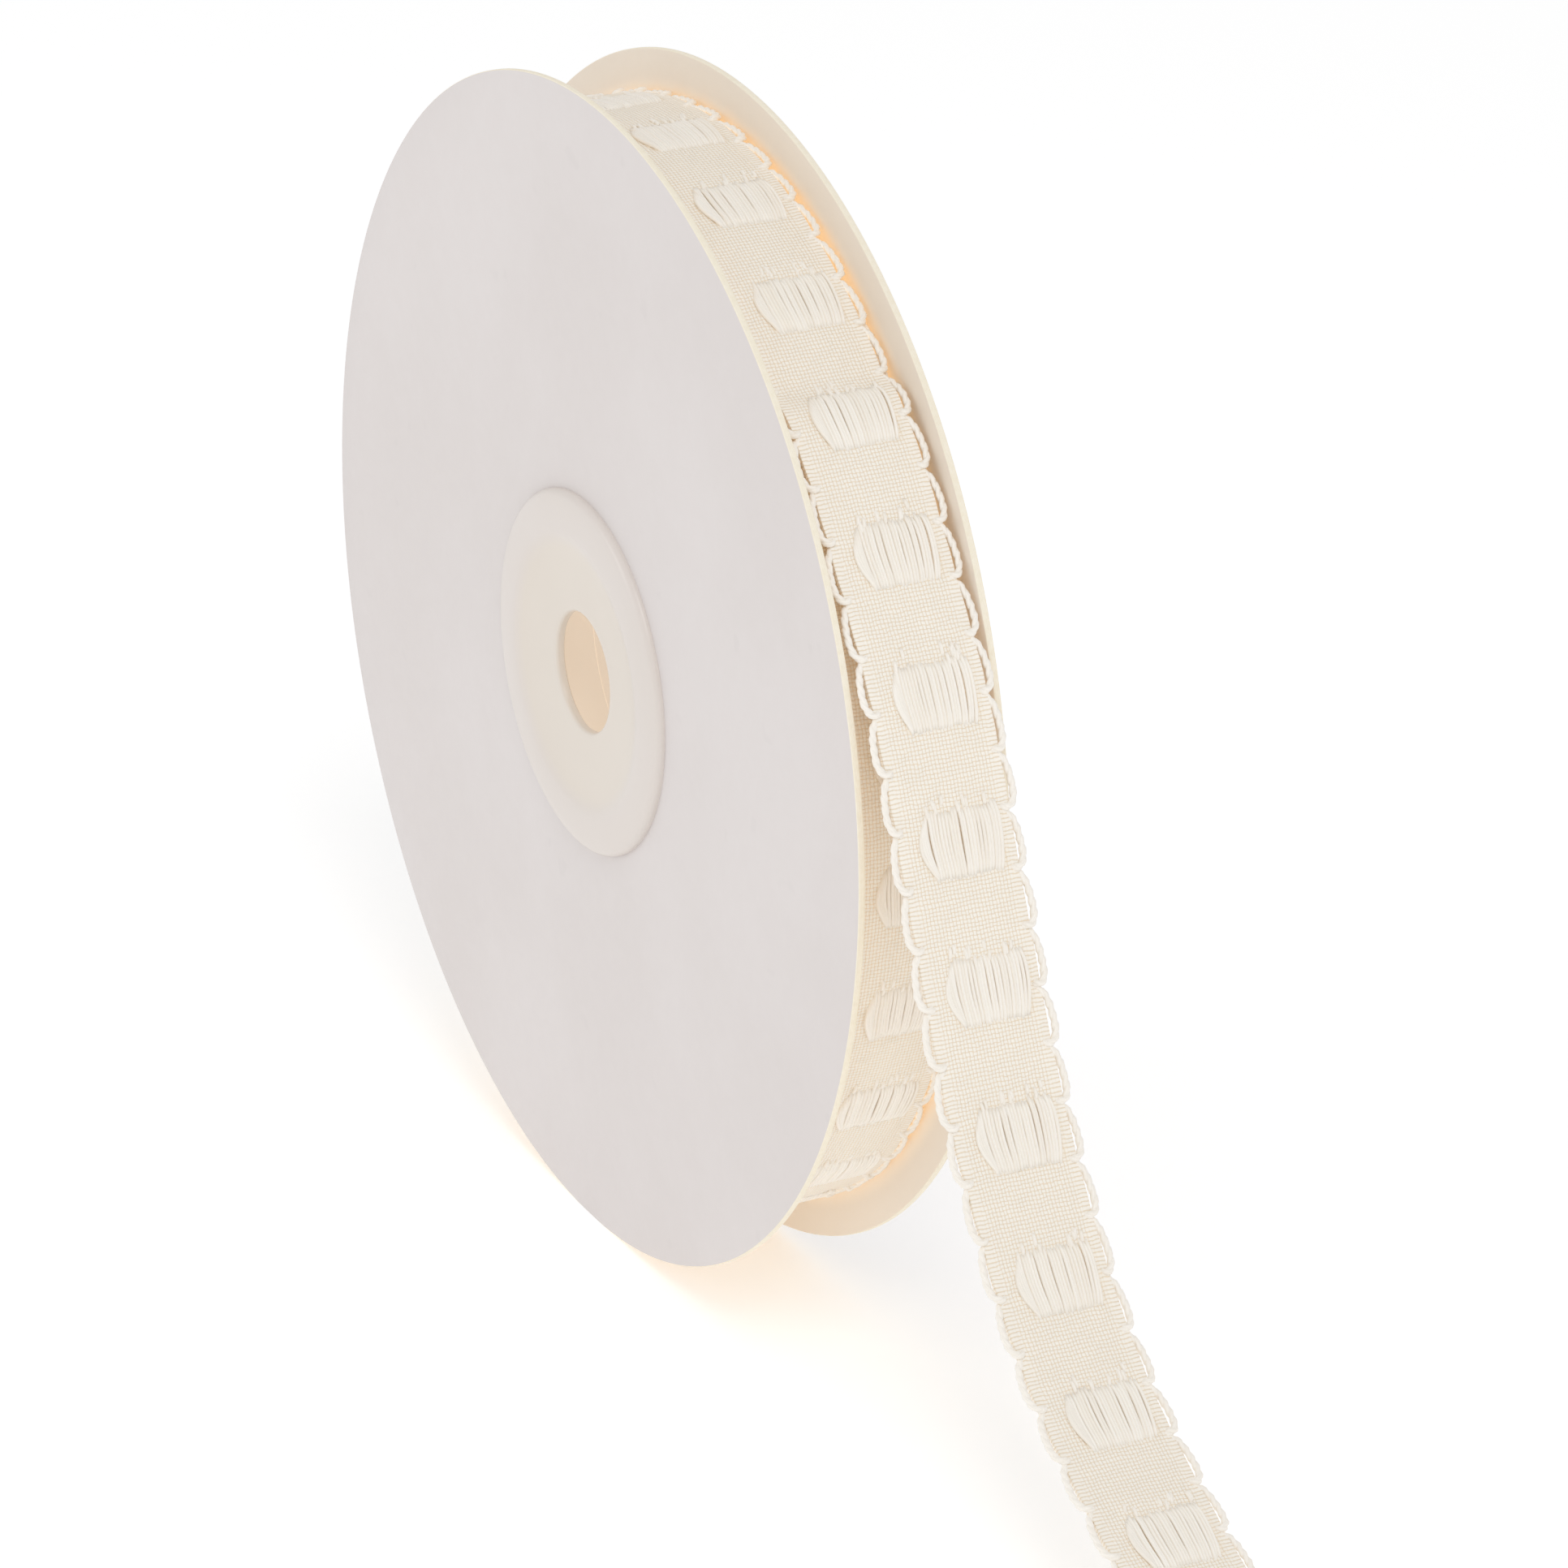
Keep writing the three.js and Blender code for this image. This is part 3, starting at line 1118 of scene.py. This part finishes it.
def patch_strands(run, patch):
    """The threads of one patch: the even ones, a few slack ones beside them on the left and
    the short ends that stand up before them."""
    ribbon = run.ribbon
    chance = random.Random(100 + patch)
    middle = ribbon.patch_phase + patch * ribbon.patch_repeat
    half, offset, reach = ribbon.patch_length / 2, ribbon.patch_offset, ribbon.patch_half_width
    slack = chance.uniform(0.7, 1.15)
    strands = []
    for thread in range(ribbon.floats):
        share = thread / (ribbon.floats - 1)
        from_middle = (2 * share - 1) * reach + chance.uniform(-0.03, 0.03) * MM
        ends = (
            middle - half + chance.uniform(-0.22, 0.2) * MM,
            middle + half + chance.uniform(-0.12, 0.12) * MM,
        )
        across = (offset + from_middle, offset + from_middle * 0.92)
        bow = (0.45 * share - 0.22) * slack * MM + chance.uniform(-0.05, 0.05) * MM
        lift = (0.04 + chance.uniform(0, 0.1) * (1 - 0.7 * share)) * MM
        strands.append(float_strand(run, ends, across, bow, lift, 10))
    for thread in range(SLACK_THREADS):
        share = (thread + chance.uniform(0.3, 0.7)) / SLACK_THREADS
        ends = (middle - half + (0.3 + 0.9 * share) * MM, middle + half - 0.1 * MM)
        across = (offset - reach - (0.15 + 0.25 * share) * MM, offset - 0.92 * reach + 0.05 * MM)
        bow = -(0.15 + 0.5 * share) * slack * MM
        strands.append(float_strand(run, ends, across, bow, 0.1 * MM, 10))
    for _ in range(LOOSE_TUFTS):
        head = middle - half - chance.uniform(0.3, 1.3) * MM
        where = offset + chance.uniform(-1, 1) * reach
        ends = (head, head + chance.uniform(0.6, 1.0) * MM)
        across = (where, where + chance.uniform(-0.15, 0.1) * MM)
        strands.append(float_strand(run, ends, across, 0, 0.03 * MM, 5))
    return strands


def float_strands(run, start, end):
    """The floating threads of every patch between two distances along the ribbon."""
    ribbon = run.ribbon
    first = math.ceil((start - ribbon.patch_phase) / ribbon.patch_repeat)
    last = math.floor((end - ribbon.patch_phase) / ribbon.patch_repeat)
    return [strand for patch in range(first, last + 1) for strand in patch_strands(run, patch)]


# Operators


class RIBBONSPOOL_OT_stage(bpy.types.Operator):
    """Set up the camera, the pale floor and the soft studio light"""

    bl_idname = "ribbonspool.stage"
    bl_label = "Studio"

    def execute(self, context):
        scene = context.scene
        colours = scene.ribbon_spool.colours
        yaw, pitch, distance = math.radians(63.59), math.radians(23.52), 0.6
        right = Vector((math.cos(yaw), math.sin(yaw), 0))
        level = math.cos(pitch)
        back = Vector((math.sin(yaw) * level, -math.cos(yaw) * level, math.sin(pitch)))
        up = back.cross(right)
        place = SPOOL_CENTRE + back * distance + right * 9.699 * MM - up * 9.565 * MM
        data = bpy.data.cameras.new("camera")
        data.sensor_width = 36
        data.lens = 180.89
        data.clip_start = 0.05
        data.clip_end = 20
        camera = bpy.data.objects.new("camera", data)
        scene.collection.objects.link(camera)
        camera.matrix_world = Matrix((right, up, back)).transposed().to_4x4()
        camera.location = place
        scene.camera = camera

        bm = bmesh.new()
        bmesh.ops.create_grid(bm, x_segments=1, y_segments=1, size=4)
        floor = show("floor", mesh_from(bm, "floor"), [studio_floor(colours)])
        floor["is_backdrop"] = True

        world = bpy.data.worlds.new("studio")
        world.use_nodes = True
        world.node_tree.nodes["Background"].inputs["Color"].default_value = (1, 1, 1, 1)
        world.node_tree.nodes["Background"].inputs["Strength"].default_value = 0.72
        scene.world = world
        for name, direction, far, size, power in (
            ("key light", (0.75, -0.25, 0.95), 0.9, 0.35, 1.5),
            ("left light", (-0.5, -1.0, 0.35), 0.9, 0.35, 0.7),
        ):
            light = bpy.data.lights.new(name, "AREA")
            light.shape = "DISK"
            light.size = size
            light.energy = power
            lamp = bpy.data.objects.new(name, light)
            scene.collection.objects.link(lamp)
            toward = Vector(direction).normalized()
            lamp.location = SPOOL_CENTRE + toward * far
            lamp.rotation_euler = toward.to_track_quat("Z", "Y").to_euler()
        scene.view_settings.view_transform = "Standard"
        scene.cycles.diffuse_bounces = 10
        return {"FINISHED"}


class RIBBONSPOOL_OT_boards(bpy.types.Operator):
    """Make the two board flanges"""

    bl_idname = "ribbonspool.boards"
    bl_label = "Board flanges"

    def execute(self, context):
        settings = context.scene.ribbon_spool
        board = settings.board
        colours = settings.colours
        looks = [
            flat_board("coated board", colours.board_face, 0),
            cut_board(colours),
            # Inner faces: a lighter, warmer colour and a painted glow beside the winding, standing
            # in for light bounced between the flanges.
            flat_board("uncoated board and painted bounce", colours.board_inside_and_bounce, 0.12),
        ]
        for name, node, side in (
            ("board_front", "flange_front", -1),
            ("board_back", "flange_back", 1),
        ):
            mesh = board_mesh(name, board, side * board.half_width, -side)
            show(name, mesh, looks, "board", [node])
        return {"FINISHED"}


class RIBBONSPOOL_OT_hub(bpy.types.Operator):
    """Make the two moulded hub halves"""

    bl_idname = "ribbonspool.hub"
    bl_label = "Hub"

    def execute(self, context):
        look = moulded_hub(context.scene.ribbon_spool.colours)
        show("bush_front", hub_mesh("bush_front", -1), [look], "hub", ["hub_front"])
        show("bush_back", hub_mesh("bush_back", 1), [look], "hub", ["hub_back"])
        return {"FINISHED"}


class RIBBONSPOOL_OT_ribbon(bpy.types.Operator):
    """Make the winding and the loose end with their floating threads and edge loops"""

    bl_idname = "ribbonspool.ribbon"
    bl_label = "Ribbon"

    def execute(self, context):
        settings = context.scene.ribbon_spool
        ribbon, colours = settings.ribbon, settings.colours
        run = RibbonRun(ribbon)
        weave = woven_ribbon(ribbon, colours)
        turns = stacked_turns(ribbon, colours)
        silk = glossy_thread(colours)

        show("winding", winding_mesh("winding", run), [weave, turns], "ribbon", ["ribbon_roll"])
        tail = show("loose_end", tail_mesh("loose_end", run), [weave], "ribbon", ["ribbon_tail"])
        solid = tail.modifiers.new("thickness", "SOLIDIFY")
        solid.thickness = ribbon.thickness
        solid.offset = -1

        for label, start, end in (
            ("winding", -run.turn_length, 0),
            ("loose_end", 0, run.loose_length),
        ):
            plies = [p for side in (-1, 1) for p in loop_strands(run, start, end, side)]
            loops = thread_mesh("loops_" + label, plies, ribbon.ply_radius, (0.7, 1))
            strands = float_strands(run, start, end)
            floats = thread_mesh("floats_" + label, strands, ribbon.float_radius, (0.3, 1))
            pieces = [
                show("loops_" + label, loops, [silk], "ribbon"),
                show("floats_" + label, floats, [silk], "ribbon"),
            ]
        return {"FINISHED"}


class RIBBONSPOOL_PT_panel(bpy.types.Panel):
    """Lists the steps that build the spool"""

    bl_label = "Ribbon Spool"
    bl_idname = "RIBBONSPOOL_PT_panel"
    bl_space_type = "VIEW_3D"
    bl_region_type = "UI"
    bl_category = "Ribbon Spool"

    def draw(self, context):
        for operator in OPERATORS:
            self.layout.operator(operator.bl_idname)


GROUPS = (BoardSettings, RibbonSettings, ColourSettings, SpoolSettings)
OPERATORS = (
    RIBBONSPOOL_OT_stage,
    RIBBONSPOOL_OT_boards,
    RIBBONSPOOL_OT_hub,
    RIBBONSPOOL_OT_ribbon,
)


def register():
    for kind in (*GROUPS, *OPERATORS, RIBBONSPOOL_PT_panel):
        bpy.utils.register_class(kind)
    bpy.types.Scene.ribbon_spool = PointerProperty(type=SpoolSettings)


def unregister():
    del bpy.types.Scene.ribbon_spool
    for kind in reversed((*GROUPS, *OPERATORS, RIBBONSPOOL_PT_panel)):
        bpy.utils.unregister_class(kind)


def main():
    register()
    bpy.ops.ribbonspool.stage()
    bpy.ops.ribbonspool.boards()
    bpy.ops.ribbonspool.hub()
    bpy.ops.ribbonspool.ribbon()
    boxes = {"cad": CAD_BOX, "visual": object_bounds()}
    {k: [list(corner) for corner in box] for k, box in boxes.items()}


if __name__ == "__main__":
    main()
